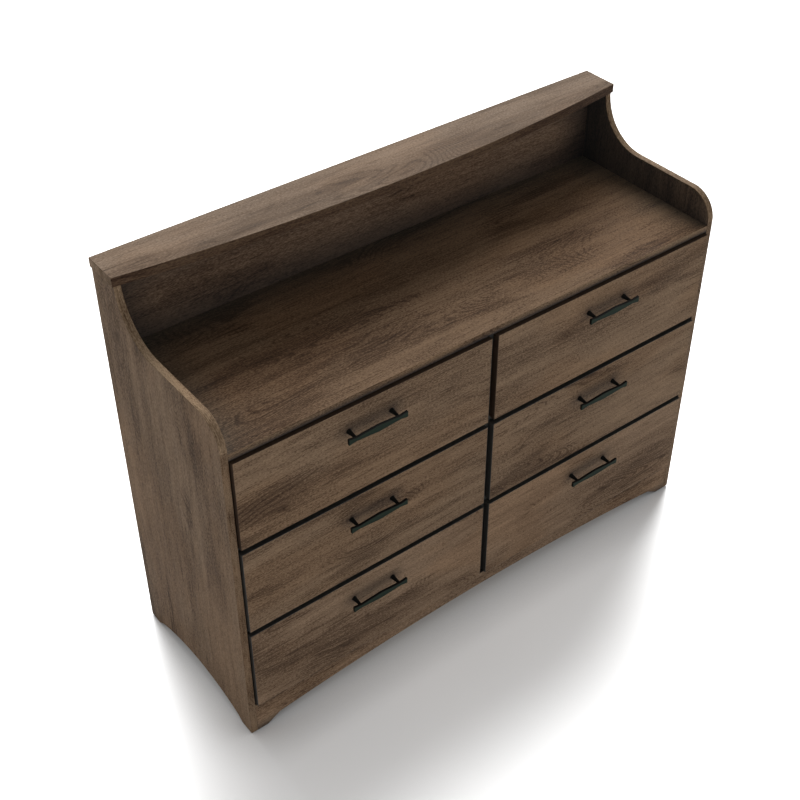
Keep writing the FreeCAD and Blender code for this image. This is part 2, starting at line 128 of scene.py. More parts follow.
class NodeSketch:
    """A material's node tree with short calls for the nodes that the finishes need."""

    def __init__(self, name: str, reads: Reads = Reads.PLACE) -> None:
        """Start a material.

        Args:
            name: Name of the material.
            reads: Coordinates that its patterns follow.
        """
        self.material = bpy.data.materials.new(name)
        self.material.use_nodes = True
        self.tree = self.material.node_tree
        self.shader = self.tree.nodes["Principled BSDF"]
        self.coordinates = self.node("TexCoord", {}).outputs[reads.value]

    def feed(self, node: bpy.types.Node, values: Values) -> None:
        """Link or set inputs of a node.

        Args:
            node: The node.
            values: Sockets to link and plain values to set, by the input's name or number.
        """
        for key, value in values.items():
            if isinstance(value, Socket):
                self.tree.links.new(value, node.inputs[key])
            else:
                node.inputs[key].default_value = value

    def node(self, kind: str, values: Values, **settings: str) -> bpy.types.Node:
        """Add a node.

        Args:
            kind: Its type, without the prefix that all shader nodes have.
            values: Its inputs, as in feed.
            settings: Its other settings by name.

        Returns:
            The node.
        """
        node = self.tree.nodes.new("ShaderNode" + kind)
        for name, setting in settings.items():
            setattr(node, name, setting)
        self.feed(node, values)
        return node

    def placed(self, scale: Sequence[float], offset: Sequence[float]) -> Socket:
        """Coordinates scaled along each axis and then moved."""
        return self.node("Mapping", {"Vector": self.coordinates, "Scale": scale, "Location": offset}).outputs[0]

    def noise(self, vector: Socket, detail: float = 2.0, roughness: float = 0.5, distortion: float = 0.0) -> Socket:
        """Smooth noise from 0 to 1, with finer layers that add detail and a distortion that swirls it."""
        values = {"Vector": vector, "Scale": 1.0, "Detail": detail, "Roughness": roughness, "Distortion": distortion}
        return self.node("TexNoise", values).outputs[0]

    def maths(self, operation: str, first: Socket, second: Socket | float = 0.0) -> Socket:
        """One arithmetic step of two values."""
        return self.node("Math", {0: first, 1: second}, operation=operation).outputs[0]

    def between(self, value: Socket, low: float, high: float, to_low: float = 0.0, to_high: float = 1.0) -> Socket:
        """Smooth step of a value, with one result up to its low end and another from its high end on."""
        values = {"Value": value, "From Min": low, "From Max": high, "To Min": to_low, "To Max": to_high}
        return self.node("MapRange", values, interpolation_type="SMOOTHSTEP").outputs["Result"]

    def blend(self, factor: Socket, first: Socket | Colour, second: Socket | Colour, mode: str = "MIX") -> Socket:
        """Mix two colours.

        Args:
            factor: Share of the second colour.
            first: First colour.
            second: Second colour.
            mode: Way of mixing.

        Returns:
            The colour socket.
        """
        node = self.node("Mix", {"Factor": factor}, data_type="RGBA", blend_type=mode)
        slots = {item.name: number for number, item in enumerate(node.inputs) if item.type == "RGBA"}
        self.feed(node, {slots["A"]: first, slots["B"]: second})
        return next(item for item in node.outputs if item.type == "RGBA")

    def total(self, base: float, layers: Sequence[tuple[Socket, float]]) -> Socket:
        """Add each layer's distance from one half, times its weight, to a base value.

        Args:
            base: The base value.
            layers: Patterns from 0 to 1, each with its weight.

        Returns:
            The value socket.
        """
        result = base - sum(weight for _, weight in layers) / 2
        for value, weight in layers:
            result = self.node("Math", {0: value, 1: weight, 2: result}, operation="MULTIPLY_ADD").outputs[0]
        return result

    def ramp(self, value: Socket, stops: Sequence[tuple[float, Colour]]) -> Socket:
        """Let a colour follow a value.

        Args:
            value: The value, from 0 to 1.
            stops: Places from 0 to 1 with their colours, in order.

        Returns:
            The colour socket.
        """
        node = self.node("ValToRGB", {0: value})
        elements = node.color_ramp.elements
        while len(elements) < len(stops):
            elements.new(0.5)
        for element, (place, colour) in zip(elements, stops):
            element.position = place
            element.color = colour
        return node.outputs[0]

    # Ambient occlusion, which the finishes and the floor use to paint shade into their colours.
    def openness(self, reach: float, power: float) -> Socket:
        """How open a place is within a reach, from 0 in a tight corner to 1, and deepened by a power."""
        return self.maths("POWER", self.node("AmbientOcclusion", {"Distance": reach}).outputs["AO"], power)

    def relief(self, height: Socket, depth: float, strength: float) -> None:
        """Raise the surface by a pattern from 0 to 1, to a depth in metres and at a strength from 0 to 1."""
        bump = self.node("Bump", {"Height": height, "Distance": depth, "Strength": strength})
        self.feed(self.shader, {"Normal": bump.outputs[0]})

    def finish(self, colour: Socket, roughness: Socket, specular: float = 0.5, metallic: float = 0.0) -> Material:
        """Set the shader's inputs and return the material."""
        self.feed(self.shader, {"Base Color": colour, "Roughness": roughness, "Specular IOR Level": specular,
                                "Metallic": metallic})
        return self.material


@dataclass(frozen=True)
class LaminateFinish:
    """Weathered oak laminate: growth rings in patches, clouds, bands, fibres, fine grain and dark pores.

    All patterns add up to one tone, from 0 for the darkest to 1 for the palest, which picks the colour. A
    second, broad pattern leans the colour from grey-brown to russet. Painted shade may darken the colour in
    corners and towards one edge of a band.

    Attributes:
        name: Name of the finish.
        dark: Display colour of the darkest grain.
        middle: Main display colour.
        light: Display colour of the palest grain.
        russet: Share of each channel that the warm patches keep.
        contrast: Strength of the fine patterns.
        relief_depth: Depth of the pressed grain in metres.
        painted_shade_reach: Distance within which painted shade darkens corners, in metres, or 0 for none.
        painted_shade_power: Power that deepens the painted shade.
        painted_shade_tone: Colour of the deepest painted shade.
        painted_shade_levels: Levels in metres between which an edge band clears from the painted shade, or none.
    """

    name: str
    dark: Tone
    middle: Tone
    light: Tone
    russet: Colour = (1.0, 0.86, 0.72, 1.0)
    contrast: float = 1.0
    relief_depth: float = 0.0003
    painted_shade_reach: float = 0.0
    painted_shade_power: float = 1.4
    painted_shade_tone: Colour = (0.014, 0.019, 0.024, 1.0)
    painted_shade_levels: tuple[float, float] | None = None

    def material(self, board: str, grain: Grain, offset: Sequence[float], reads: Reads = Reads.PLACE) -> Material:
        """The laminate of one board.

        Args:
            board: Name of the board.
            grain: Direction of its grain.
            offset: Shift that makes its pattern its own.
            reads: Coordinates that the pattern follows.

        Returns:
            The material.
        """
        sketch = NodeSketch(f"{self.name}_{board}", reads)

        def layer(along: float, across: float, *noise: float) -> Socket:
            """Noise with so many features in a metre along and across the grain."""
            scale = [along if axis == grain.value else across for axis in range(3)]
            return sketch.noise(sketch.placed(scale, offset), *noise)

        clouds = layer(2.4, 9.0, 3.0, 0.55)
        patches = layer(3.2, 14.0, 3.0, 0.55, 0.4)
        flame = layer(1.9, 7.5, 1.0, 0.4, 0.3)
        bands = layer(1.7, 36.0, 2.0)
        streaks = layer(5.0, 105.0, 3.0, 0.6)
        fibres = layer(16.0, 230.0, 2.0, 0.6)
        grains = layer(190.0, 620.0, 1.0)
        pores = layer(15.0, 400.0, 1.0)

        turns = sketch.total(0.0, ((flame, RING_TURNS), (streaks, RING_WANDER)))
        rings = sketch.between(sketch.maths("SINE", turns), 0.1, 1.0)
        figure = sketch.maths("MULTIPLY", rings, sketch.between(patches, 0.5, 0.66, 0.05, 1.0))
        drawn = sketch.between(pores, 0.56, 0.66)
        fine = self.contrast
        tone = sketch.total(0.5, (
            (clouds, 0.62),
            (sketch.between(patches, 0.47, 0.68), -0.16),
            (figure, -0.24 * fine),
            (bands, 0.36),
            (streaks, 0.3 * fine),
            (fibres, 0.4 * fine),
            (grains, 1.1 * fine),
            (drawn, -0.16 * fine),
        ))
        stops = ((0.0, linear(self.dark)), (0.5, linear(self.middle)), (1.0, linear(self.light)))
        colour = sketch.ramp(tone, stops)
        lean = sketch.between(layer(3.0, 7.0, 2.0, 0.5), 0.4, 0.62, 0.0, 0.55)
        colour = sketch.blend(lean, colour, sketch.blend(lean, colour, self.russet, "MULTIPLY"))
        # Painted shade: the colour darkens towards corners by ambient occlusion, and towards one edge of a band.
        if self.painted_shade_reach:
            colour = sketch.blend(sketch.openness(self.painted_shade_reach, self.painted_shade_power), self.painted_shade_tone, colour)
        if self.painted_shade_levels:
            level = sketch.node("SeparateXYZ", {0: sketch.coordinates}).outputs["Y"]
            colour = sketch.blend(sketch.between(level, *self.painted_shade_levels), self.painted_shade_tone, colour)

        pressed = sketch.total(0.5, ((fibres, 0.9), (grains, 0.7), (drawn, -0.5)))
        sketch.relief(pressed, self.relief_depth, 0.5)
        return sketch.finish(colour, sketch.between(fibres, 0.3, 0.7, 0.62, 0.72), specular=0.06)

    def band(self, name: str, offset: Sequence[float]) -> Material:
        """The laminate of an edge band, with its grain along the band."""
        return self.material(name, Grain.ACROSS, offset, Reads.EDGE_BAND)


@dataclass(frozen=True)
class MottledFinish:
    """Plain finish with a fine mottle, for black edging, fibreboard, plastic, steel and the like.

    Attributes:
        name: Name of the finish.
        first: Main display colour.
        second: Display colour of the mottle.
        cells: Features in a metre along each axis.
        roughness: Least and greatest roughness.
        specular: Specular level.
        metallic: Metallic share.
        relief_depth: Depth of the surface texture in metres.
    """

    name: str
    first: Tone
    second: Tone
    cells: tuple[float, float, float]
    roughness: tuple[float, float]
    specular: float = 0.5
    metallic: float = 0.0
    relief_depth: float = 0.0001

    def material(self) -> Material:
        """Make the finish.

        Returns:
            The material.
        """
        sketch = NodeSketch(self.name)
        spots = sketch.noise(sketch.placed(self.cells, (0.0, 0.0, 0.0)), 3.0, 0.6)
        clouds = sketch.noise(sketch.placed((7.0, 7.0, 7.0), (3.1, 1.7, 5.3)))
        thin = sketch.between(clouds, 0.3, 0.7, 0.4, 1.0)
        share = sketch.maths("MULTIPLY", sketch.between(spots, 0.35, 0.65), thin)
        colour = sketch.blend(share, linear(self.first), linear(self.second))
        sketch.relief(spots, self.relief_depth, 0.35)
        roughness = sketch.between(spots, 0.3, 0.7, *self.roughness)
        return sketch.finish(colour, roughness, self.specular, self.metallic)


@dataclass(frozen=True)
class Corner:
    """Corner of an outline, rounded by a small radius."""

    u: float
    v: float
    radius: float = 1.3 * MM


@dataclass(frozen=True)
class Bend:
    """Round stretch of an outline about a centre, between two angles in degrees. It may turn either way."""

    u: float
    v: float
    radius: float
    start: float
    end: float
    steps: int = 24

    def points(self) -> tuple[np.ndarray, np.ndarray]:
        """Work out the stretch.

        Returns:
            Points on the circle and the outward directions there, which point inwards where it turns back.
        """
        angles = np.radians(np.linspace(self.start, self.end, self.steps + 1))
        ring = np.stack([np.cos(angles), np.sin(angles)], axis=1)
        outward = ring * math.copysign(1.0, self.end - self.start)
        return np.array([self.u, self.v]) + self.radius * ring, outward


def outline(stations: Sequence[Corner | Bend]) -> tuple[np.ndarray, np.ndarray]:
    """Closed outline, counter-clockwise, with an outward direction at each point.

    A corner between two straight stretches becomes an arc: its centre lies on the bisector, at the radius over
    the sine of half the angle between them, and its normals turn evenly from one stretch's to the next's.

    Args:
        stations: Corners and bends in order.

    Returns:
        The points and their outward directions, as rows.
    """
    ends = [item.points()[0][[0, -1]] if isinstance(item, Bend) else np.array([[item.u, item.v]] * 2)
            for item in stations]
    points, normals = [], []
    for index, item in enumerate(stations):
        if isinstance(item, Bend):
            ring, outward = item.points()
        else:
            here = ends[index][0]
            ahead = ends[(index + 1) % len(stations)][0] - here
            behind = here - ends[index - 1][1]
            ahead, behind = ahead / np.linalg.norm(ahead), behind / np.linalg.norm(behind)
            turn = math.atan2(behind[0] * ahead[1] - behind[1] * ahead[0], float(behind @ ahead))
            side = math.copysign(1.0, turn)
            first = math.atan2(-behind[0], behind[1])
            angles = first + np.linspace(0.0, turn, ROUND_POINTS)
            outward = np.stack([np.cos(angles), np.sin(angles)], axis=1)
            inset = item.radius * math.tan(abs(turn) / 2)
            centre = here - behind * inset - side * item.radius * outward[0]
            ring = centre + side * item.radius * outward
        points.append(ring)
        normals.append(outward)
    return np.concatenate(points), np.concatenate(normals)


def rectangle(u_span: tuple[float, float], v_span: tuple[float, float], radius: float) -> list[Corner]:
    """Corners of a rectangle.

    Args:
        u_span: Its ends in the first direction.
        v_span: Its ends in the second direction.
        radius: Radius of its corners.

    Returns:
        The corners, counter-clockwise.
    """
    (u_low, u_high), (v_low, v_high) = u_span, v_span
    return [Corner(u_low, v_low, radius), Corner(u_high, v_low, radius),
            Corner(u_high, v_high, radius), Corner(u_low, v_high, radius)]


def add_piece(name: str, points: np.ndarray, normals: np.ndarray, finishes: Sequence[Material],
              side_finish: int | Sequence[int], uvs: np.ndarray | None = None,
              clockwise: bool = False) -> bpy.types.Object:
    """Put a closed surface into the scene: rings of points, joined by quads, with a flat face at each end.

    Args:
        name: Name of the piece.
        points: Vertex places, by ring and by place in the ring.
        normals: Outward directions there.
        finishes: Materials, the first one for the ends.
        side_finish: Number of the sides' material, for all or for each place in the ring.
        uvs: Edge-band coordinates there, or None.
        clockwise: Whether the rings run clockwise, seen against their order.

    Returns:
        The object, at the origin.
    """
    rows, columns = points.shape[:2]
    first = np.arange(rows - 1)[:, None] * columns
    here = np.arange(columns)
    ahead = (here + 1) % columns
    quads = np.stack([first + here, first + ahead, first + columns + ahead, first + columns + here], axis=-1)
    low_end, high_end = here[::-1], (rows - 1) * columns + here
    faces = [*quads.reshape(-1, 4).tolist(), low_end.tolist(), high_end.tolist()]
    if clockwise:
        faces = [face[::-1] for face in faces]
    sides = np.broadcast_to(side_finish, (rows - 1, columns)).ravel()
    mesh = bpy.data.meshes.new(name)
    mesh.from_pydata(points.reshape(-1, 3).tolist(), [], faces)
    for finish in finishes:
        mesh.materials.append(finish)
    mesh.polygons.foreach_set("material_index", np.append(sides, [0, 0]).astype(np.int32))
    mesh.polygons.foreach_set("use_smooth", np.ones(len(faces), dtype=bool))
    if uvs is not None:
        corners = np.empty(len(mesh.loops), dtype=np.int32)
        mesh.loops.foreach_get("vertex_index", corners)
        layer = mesh.uv_layers.new(name="edge_band")
        layer.data.foreach_set("uv", uvs.reshape(-1, 2)[corners].astype(np.float32).ravel())
    mesh.normals_split_custom_set_from_vertices(normals.reshape(-1, 3).tolist())
    mesh.update()
    piece = bpy.data.objects.new(name, mesh)
    bpy.context.scene.collection.objects.link(piece)
    return piece


def board(name: str, lies: Lies, stations: Sequence[Corner | Bend], span: tuple[float, float], arris: float,
          face: Material, edge: Material) -> bpy.types.Object:
    """Board with rounded arrises, an edge band all round and two flat faces.

    The outline is carried through the thickness in rings. Near each face, with an angle t from 0 to 90 degrees,
    a ring lies the arris radius times (1 - cos t) deep and is drawn in by the radius times (1 - sin t). Its
    normal is the face's times cos t plus the outline's times sin t.

    Args:
        name: Name of the piece.
        lies: How the board lies.
        stations: Corners and bends of its outline.
        span: Lowest and highest place through the thickness.
        arris: Radius of the arrises.
        face: Material of the two faces.
        edge: Material of the edge band.

    Returns:
        The object.
    """
    flat, outward = outline(stations)
    angles = np.radians(np.linspace(0.0, 90.0, ARRIS_POINTS))
    depth = arris * (1.0 - np.cos(angles))
    inset = arris * (1.0 - np.sin(angles))
    levels = np.concatenate([span[0] + depth, span[1] - depth[::-1]])
    insets = np.concatenate([inset, inset[::-1]])
    tilt = np.concatenate([-np.cos(angles), np.cos(angles)[::-1]])
    spread = np.concatenate([np.sin(angles), np.sin(angles)[::-1]])
    rows, columns = len(levels), len(flat)
    order = list(lies.value)
    points = np.empty((rows, columns, 3))
    normals = np.empty((rows, columns, 3))
    points[:, :, order[:2]] = flat[None] - insets[:, None, None] * outward[None]
    points[:, :, order[2]] = levels[:, None]
    normals[:, :, order[:2]] = spread[:, None, None] * outward[None]
    normals[:, :, order[2]] = tilt[:, None]
    run = np.concatenate([[0.0], np.cumsum(np.linalg.norm(np.diff(flat, axis=0), axis=1))])
    uvs = np.stack([np.broadcast_to(run, (rows, columns)), np.broadcast_to(levels[:, None], (rows, columns))], -1)
    return add_piece(name, points, normals, [face, edge], 1, uvs)


def refinish(piece: bpy.types.Object, before: int, towards: Sequence[Sequence[float]], finish: Material,
             above: float = -1.0) -> None:
    """Give the faces of a piece that look certain ways another finish.

    Args:
        piece: The piece.
        before: Number of the finish that they have.
        towards: Directions in which they look.
        finish: Their new finish.
        above: Height above which their centres lie.
    """
    mesh = piece.data
    mesh.materials.append(finish)
    normals = np.empty(3 * len(mesh.polygons), np.float32)
    mesh.polygons.foreach_get("normal", normals)
    centres = np.empty(3 * len(mesh.polygons), np.float32)
    mesh.polygons.foreach_get("center", centres)
    finishes = np.empty(len(mesh.polygons), np.int32)
    mesh.polygons.foreach_get("material_index", finishes)
    facing = (normals.reshape(-1, 3) @ np.array(towards).T).max(axis=1) > FACING
    high = centres.reshape(-1, 3)[:, 2] > above
    finishes[facing & high & (finishes == before)] = len(mesh.materials) - 1
    mesh.polygons.foreach_set("material_index", finishes)


def settle(piece: bpy.types.Object, body: str, node: str) -> None:
    """Let a piece stand for a node.

    Args:
        piece: The piece.
        body: The body that it rides on.
        node: The node that it stands for.
    """
    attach(piece, body)
    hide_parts(node)
    LOG.info("%s stands for %s on %s", piece.name, node, body)


def dress(nodes: Iterable[str], finish: Material) -> None:
    """Give carried-over nodes a finish.

    Args:
        nodes: Names of the nodes.
        finish: The material.
    """
    for name in nodes:
        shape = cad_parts[name]
        for slot in shape.material_slots:
            slot.material = finish
        if not shape.material_slots:
            shape.data.materials.append(finish)
        LOG.info("%s finished in %s", name, finish.name)


def spans(node: str) -> list[tuple[float, float]]:
    """Lowest and highest place of a node along each axis."""
    low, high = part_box(node)
    return [(low[axis], high[axis]) for axis in range(3)]


PLAIN_FINISHES = (
    MottledFinish("black_edge", (42, 41, 38), (53, 50, 46), (90.0, 90.0, 90.0), (0.45, 0.6), 0.35),
    # Dark brown edges of the top row's fronts: painted shade.
    MottledFinish("painted_shade_edge", (50, 38, 29), (60, 47, 36), (90.0, 90.0, 90.0), (0.5, 0.65), 0.1),
    MottledFinish("black_board", (36, 37, 34), (46, 46, 43), (40.0, 260.0, 260.0), (0.45, 0.62), 0.35),
    MottledFinish("fibreboard", (126, 102, 78), (102, 80, 59), (230.0, 230.0, 230.0), (0.7, 0.85), 0.25),
    MottledFinish("zinc_steel", (176, 178, 180), (146, 149, 152), (60.0, 160.0, 60.0), (0.28, 0.42), 0.5, 1.0),
    MottledFinish("black_plastic", (22, 22, 22), (30, 30, 30), (700.0, 700.0, 700.0), (0.5, 0.65)),
    MottledFinish("pull_black", (11, 11, 10), (18, 18, 16), (500.0, 500.0, 500.0), (0.42, 0.54), 0.1),
    # Green-grey front face of the pull bars: painted sheen.
    MottledFinish("pull_face_painted_sheen", (24, 36, 28), (32, 45, 35), (60.0, 700.0, 700.0), (0.5, 0.6), 0.06),
)


@dataclass
class Finishes:
    """All finishes of the dresser.

    Attributes:
        front_face: Laminate of the upper four drawer fronts, with painted shade close to the pulls and in corners.
        low_front: That of the lowest two and the apron: a paler copy as painted light, with painted shade close to
            the pulls and in corners.
        tray: That of the top board, with painted shade in its corners by the gallery and the side panels.
        top_edge: That of its edge, with painted shade along its lower part.
        gallery: That of the gallery's back panel: a paler copy as painted light, with painted shade in its corners.
        gallery_edge: That of its edge.
        cap: That of the cap board: a paler copy as painted light and sheen.
        cap_edge: That of its bowed and rear edges: a darker copy as painted shade.
        cap_end: That of its ends: a paler copy as painted light.
        upright: That of the side panels' outer faces and edges.
        upright_inside: That of their inner faces: a darker copy as painted shade, deepened in corners.
        shoulder_edge: That of their edge along the shoulder and the scoop: a paler copy as painted light.
        drawer_board: That of the drawer boxes and the boards out of sight.
        plain: The plain materials by their names.
    """

    gallery_edge: LaminateFinish = LaminateFinish("oak", (34, 23, 16), (82, 64, 49), (136, 113, 90))
    # Painted shade close to the pulls and in corners.
    front_face: LaminateFinish = LaminateFinish(
        "front_oak_painted_shade", (34, 23, 16), (84, 66, 51), (139, 116, 93), painted_shade_reach=0.03)
    # Painted shade in the top board's corners by the gallery and the side panels.
    tray: LaminateFinish = LaminateFinish(
        "tray_oak_painted_shade", (34, 23, 16), (82, 62, 46), (136, 111, 87), painted_shade_reach=0.1, painted_shade_power=0.85,
        painted_shade_tone=(0.038, 0.058, 0.058, 1.0))
    # Paler copy of the laminate as painted light, with painted shade in its corners.
    gallery: LaminateFinish = LaminateFinish(
        "gallery_oak_painted_light_and_shade", (37, 25, 18), (91, 71, 56), (150, 125, 103), painted_shade_reach=0.1, painted_shade_power=1.8)
    # Paler copy of the laminate as painted light, with painted shade close to the pulls and in corners.
    low_front: LaminateFinish = LaminateFinish(
        "low_oak_painted_light_and_shade", (36, 25, 18), (90, 71, 55), (146, 122, 99), painted_shade_reach=0.03)
    # Paler copy of the laminate as painted light and sheen.
    cap: LaminateFinish = LaminateFinish("cap_oak_painted_light", (58, 45, 35), (103, 85, 69), (149, 129, 110), contrast=0.9)
    # Darker copy of the laminate as painted shade.
    cap_edge: LaminateFinish = LaminateFinish("cap_edge_oak_painted_shade", (28, 18, 13), (64, 47, 36), (102, 82, 64))
    # Paler copy of the laminate as painted light.
    cap_end: LaminateFinish = LaminateFinish("cap_end_oak_painted_light", (60, 47, 37), (113, 94, 76), (156, 135, 115))
    # Painted shade along the lower part of the top board's edge.
    top_edge: LaminateFinish = LaminateFinish(
        "top_edge_oak_painted_shade", (34, 23, 16), (82, 64, 49), (136, 113, 90), painted_shade_levels=TOP_EDGE_PAINTED_SHADE)
    upright: LaminateFinish = LaminateFinish("upright_oak", (34, 24, 18), (82, 64, 48), (133, 111, 89))
    # Paler copy of the laminate as painted light.
    shoulder_edge: LaminateFinish = LaminateFinish("shoulder_oak_painted_light", (52, 39, 29), (105, 85, 66), (158, 135, 109))
    # Darker copy of the laminate as painted shade, deepened far into corners.
    upright_inside: LaminateFinish = LaminateFinish(
        "inner_oak_painted_shade", (34, 24, 18), (74, 57, 43), (122, 102, 82), painted_shade_reach=0.3, painted_shade_power=0.9,
        painted_shade_tone=(0.033, 0.043, 0.049, 1.0))
    drawer_board: LaminateFinish = LaminateFinish(
        "drawer_oak", (104, 86, 68), (150, 131, 110), (188, 170, 148), contrast=0.6)
    plain: dict[str, Material] = field(init=False)

    def __post_init__(self) -> None:
        """Make the plain materials, which pieces share."""
        self.plain = {finish.name: finish.material() for finish in PLAIN_FINISHES}


@dataclass
class CaseDressing:
    """The fixed case: side panels, top, gallery, cap, apron and what lies inside.

    Attributes:
        finishes: The dresser's finishes.
        arris: Radius of the boards' arrises.
        shoulder_radius: Radius of the side panels' front shoulder.
        shoulder_rise: Height of the shoulder above the top board.
        scoop_radius: Radius of the scoop up to the cap.
        side_foot: Length of a side panel's foot.
        side_slope: Run and height of the slope beside it.
        side_crown: Height of the side panel's arch.
        foot_corner: Radius where a foot meets its slope.
        apron_foot: Length of the apron's foot from the side panel's outer face.
        apron_slope: Run and height of the slope beside it.
        apron_crown: Height of the apron's arch.
        cap_front_overhang: Overhang of the cap's ends in front of the panels.
        cap_bow: Bulge of the cap's front edge in its middle.
        body: Name of the case's body.
    """

    finishes: Finishes
    arris: float = 0.8 * MM
    shoulder_radius: float = 60 * MM
    shoulder_rise: float = 67 * MM
    scoop_radius: float = 107 * MM
    side_foot: float = 34 * MM
    side_slope: tuple[float, float] = (18 * MM, 14 * MM)
    side_crown: float = 40 * MM
    foot_corner: float = 3 * MM
    apron_foot: float = 40 * MM
    apron_slope: tuple[float, float] = (30 * MM, 19 * MM)
    apron_crown: float = 47 * MM
    cap_front_overhang: float = 3 * MM
    cap_bow: float = 41.5 * MM
    body: str = "case"

    @staticmethod
    def arch(low: float, high: float, rise: float, crown: float) -> tuple[float, float, float, float]:
        """Arc through two points at one height and a crown between them.

        The radius is (c * c + s * s) / (2 * s), with c half the span and s the crown's height over the ends.

        Args:
            low: Lower end.
            high: Higher end.
            rise: Height of both ends.
            crown: Height of the middle.

        Returns:
            Middle, height of the centre, radius, and half the angle in degrees.
        """
        half, sagitta = (high - low) / 2, crown - rise
        radius = (half ** 2 + sagitta ** 2) / (2 * sagitta)
        return (low + high) / 2, crown - radius, radius, math.degrees(math.asin(half / radius))

    def side_panel(self, side: int, node: str) -> None:
        """Build one side panel.

        Args:
            side: -1 for the left one and 1 for the right one.
            node: The node that it stands for.
        """
        x_span, (front, back), (foot, crest) = spans(node)
        shoulder = spans("top_board")[2][1] + self.shoulder_rise
        upright = spans("gallery_cap")[1][0] + self.cap_bow + self.cap_front_overhang
        level = shoulder + self.scoop_radius
        reach = math.degrees(math.asin((level - crest) / self.scoop_radius))
        scoop_start = upright - self.scoop_radius * math.cos(math.radians(reach))
        low, high = front + self.side_foot, back - self.side_foot
        run, rise = self.side_slope
        middle, centre, radius, half = self.arch(low + run, high - run, rise, self.side_crown)
        stations = [
            Corner(front, foot),
            Corner(low, foot, self.foot_corner),
            Bend(middle, centre, radius, 90 + half, 90 - half, 32),
            Corner(high, foot, self.foot_corner),
            Corner(back, foot),
            Corner(back, crest),
            Bend(scoop_start, level, self.scoop_radius, -reach, -90, 24),
            Bend(front + self.shoulder_radius, shoulder - self.shoulder_radius, self.shoulder_radius, 90, 180, 20),
        ]
        offset = (3.7 + side, 1.3 * side, 5.1 + 2.3 * side)
        wood = self.finishes
        face = wood.upright.material(node, Grain.UPRIGHT, offset)
        edge = wood.upright.band(node + "_edge", offset)
        piece = board(node + "_board", Lies.FACING_SIDEWAYS, stations, x_span, self.arris, face, edge)
        # The inner faces take a darker copy of the laminate, painted shade.
        inside = wood.upright_inside.material(node, Grain.UPRIGHT, offset)
        refinish(piece, 0, [(-side, 0, 0)], inside)
        # The edge along the shoulder and the scoop takes a paler copy of the laminate, painted light.
        shoulder_edge = wood.shoulder_edge.band(node + "_shoulder", offset)
        refinish(piece, 1, SHOULDER_WAYS, shoulder_edge, shoulder - self.shoulder_radius)
        settle(piece, self.body, node)

    def flat_board(self, node: str, lies: Lies, offset: Sequence[float], finish: LaminateFinish,
                   edge_finish: LaminateFinish) -> None:
        """Build a rectangular board of the case.

        Args:
            node: The node that it stands for.
            lies: How it lies.
            offset: Shift of its grain.
            finish: Its laminate.
            edge_finish: The laminate of its edge band.
        """
        extent = spans(node)
        u_axis, v_axis, w_axis = lies.value
        face = finish.material(node, Grain.ACROSS, offset)
        edge = edge_finish.band(node + "_edge", offset)
        corners = rectangle(extent[u_axis], extent[v_axis], self.arris * CORNER_TO_ARRIS)
        piece = board(node + "_board", lies, corners, extent[w_axis], self.arris, face, edge)
        settle(piece, self.body, node)

    def cap(self) -> None:
        """Build the cap, whose front edge is an arc that bulges forward in the middle."""
        node = "gallery_cap"
        (left, right), (front, back), z_span = spans(node)
        end = front + self.cap_bow
        middle, centre, radius, half = self.arch(left, right, -end, -front)
        stations = [
            Bend(middle, -centre, radius, -90 - half, -90 + half, 64),
            Corner(right, back),
            Corner(left, back),
        ]
        offset = (6.3, 0.2, 3.4)
        face = self.finishes.cap.material(node, Grain.ACROSS, offset)
        # The cap's edge band is a darker copy of the laminate, painted shade.
        edge = self.finishes.cap_edge.band(node + "_edge", offset)
        piece = board(node + "_board", Lies.FLAT, stations, z_span, self.arris, face, edge)
        # The cap's ends take a paler copy of the laminate, painted light.
        end_band = self.finishes.cap_end.band(node + "_ends", offset)
        refinish(piece, 1, [(-1, 0, 0), (1, 0, 0)], end_band)
        settle(piece, self.body, node)

    def apron(self) -> None:
        """Build the arched apron between the side panels."""
        node = "front_apron"
        (left, right), y_span, (foot, head) = spans(node)
        outer = spans("right_side_panel")[0][1]
        end = outer - self.apron_foot
        run, rise = self.apron_slope
        middle, centre, radius, half = self.arch(-end + run, end - run, rise, self.apron_crown)
        stations = [
            Corner(foot, left),
            Corner(head, left),
            Corner(head, right),
            Corner(foot, right),
            Corner(foot, end, self.foot_corner),
            Bend(centre, middle, radius, half, -half, 48),
            Corner(foot, -end, self.foot_corner),
        ]
        face = self.finishes.low_front.material(node, Grain.ACROSS, (1.9, 7.4, 2.2))
        edge = self.finishes.low_front.band(node + "_edge", (4.0, 1.0, 0.0))
        piece = board(node + "_board", Lies.FACING_FRONT, stations, y_span, self.arris, face, edge)
        settle(piece, self.body, node)

    def build(self) -> None:
        """Build and dress the whole case."""
        wood, plain = self.finishes, self.finishes.plain
        self.side_panel(-1, "left_side_panel")
        self.side_panel(1, "right_side_panel")
        self.flat_board("top_board", Lies.FLAT, (0.4, 2.6, 1.1), wood.tray, wood.top_edge)
        self.cap()
        self.flat_board("gallery_back_panel", Lies.FACING_FRONT, (2.7, 5.2, 8.8), wood.gallery, wood.gallery_edge)
        self.apron()
        dress(["centre_partition", "upper_left_rail", "upper_right_rail", "lower_left_rail", "lower_right_rail"],
              plain["black_board"])
        dress(["bottom_board", "rear_apron"], wood.drawer_board.material("case", Grain.ACROSS, (9.0, 4.0, 2.0)))
        dress(["back_panel"], plain["fibreboard"])
        dress(["case_runners", "case_fittings", "wall_bracket"], plain["zinc_steel"])
        dress(["floor_supports"], plain["black_plastic"])


